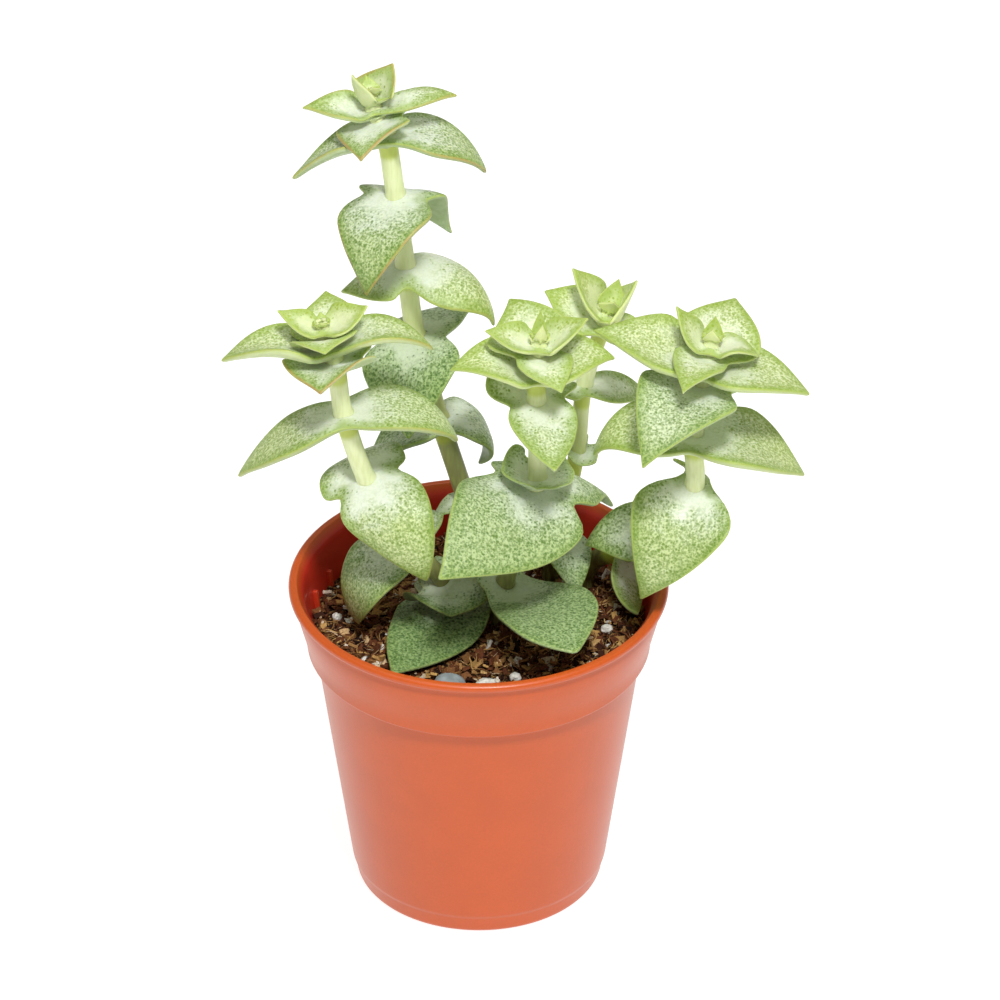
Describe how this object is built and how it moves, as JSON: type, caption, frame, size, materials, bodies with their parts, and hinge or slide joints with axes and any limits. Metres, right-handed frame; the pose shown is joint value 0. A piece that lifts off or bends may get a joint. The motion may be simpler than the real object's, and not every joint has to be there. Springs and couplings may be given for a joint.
{
  "type": "potted succulent",
  "caption": "Small succulent with stacked pairs of speckled fleshy leaves threaded on slender stems, standing in soil in a round tapered plastic nursery pot.",
  "frame": {"origin": "centre of the pot's flat base", "axes": "+Z along the pot's axis, up; -Y towards the viewer's side, where the leaves show best"},
  "size_m": [0.0837, 0.055, 0.13],
  "materials": {
    "pot": "satin moulded terracotta-coloured plastic",
    "soil": "rough brown compost of bark and fibre",
    "pebble": "matte grey stone",
    "perlite": "matte white crumb",
    "stem": "smooth, pale green above and tan brown below",
    "leaf": "waxy pale green with dark green speckles"
  },
  "bodies": {
    "root": {"back_leaf_pair_1": "leaf", "back_leaf_pair_2": "leaf", "back_leaf_pair_3": "leaf", "back_leaf_pair_4": "leaf", "back_leaf_pair_5": "leaf", "back_stem": "stem", "front_leaf_pair_1": "leaf", "front_leaf_pair_2": "leaf", "front_leaf_pair_3": "leaf", "front_leaf_pair_4": "leaf", "front_leaf_pair_5": "leaf", "front_leaf_pair_6": "leaf", "front_leaf_pair_7": "leaf", "front_leaf_pair_8": "leaf", "front_stem": "stem", "left_leaf_pair_1": "leaf", "left_leaf_pair_2": "leaf", "left_leaf_pair_3": "leaf", "left_leaf_pair_4": "leaf", "left_leaf_pair_5": "leaf", "left_leaf_pair_6": "leaf", "left_leaf_pair_7": "leaf", "left_leaf_pair_8": "leaf", "left_leaf_pair_9": "leaf", "left_stem": "stem", "pebble": "pebble", "perlite_1": "perlite", "perlite_2": "perlite", "perlite_3": "perlite", "perlite_4": "perlite", "pot": "pot", "right_leaf_pair_1": "leaf", "right_leaf_pair_2": "leaf", "right_leaf_pair_3": "leaf", "right_leaf_pair_4": "leaf", "right_leaf_pair_5": "leaf", "right_leaf_pair_6": "leaf", "right_leaf_pair_7": "leaf", "right_leaf_pair_8": "leaf", "right_leaf_pair_9": "leaf", "right_stem": "stem", "soil": "soil", "tall_leaf_pair_1": "leaf", "tall_leaf_pair_2": "leaf", "tall_leaf_pair_3": "leaf", "tall_leaf_pair_4": "leaf", "tall_leaf_pair_5": "leaf", "tall_leaf_pair_6": "leaf", "tall_leaf_pair_7": "leaf", "tall_leaf_pair_8": "leaf", "tall_leaf_pair_9": "leaf", "tall_stem": "stem"}
  },
  "joints": []
}
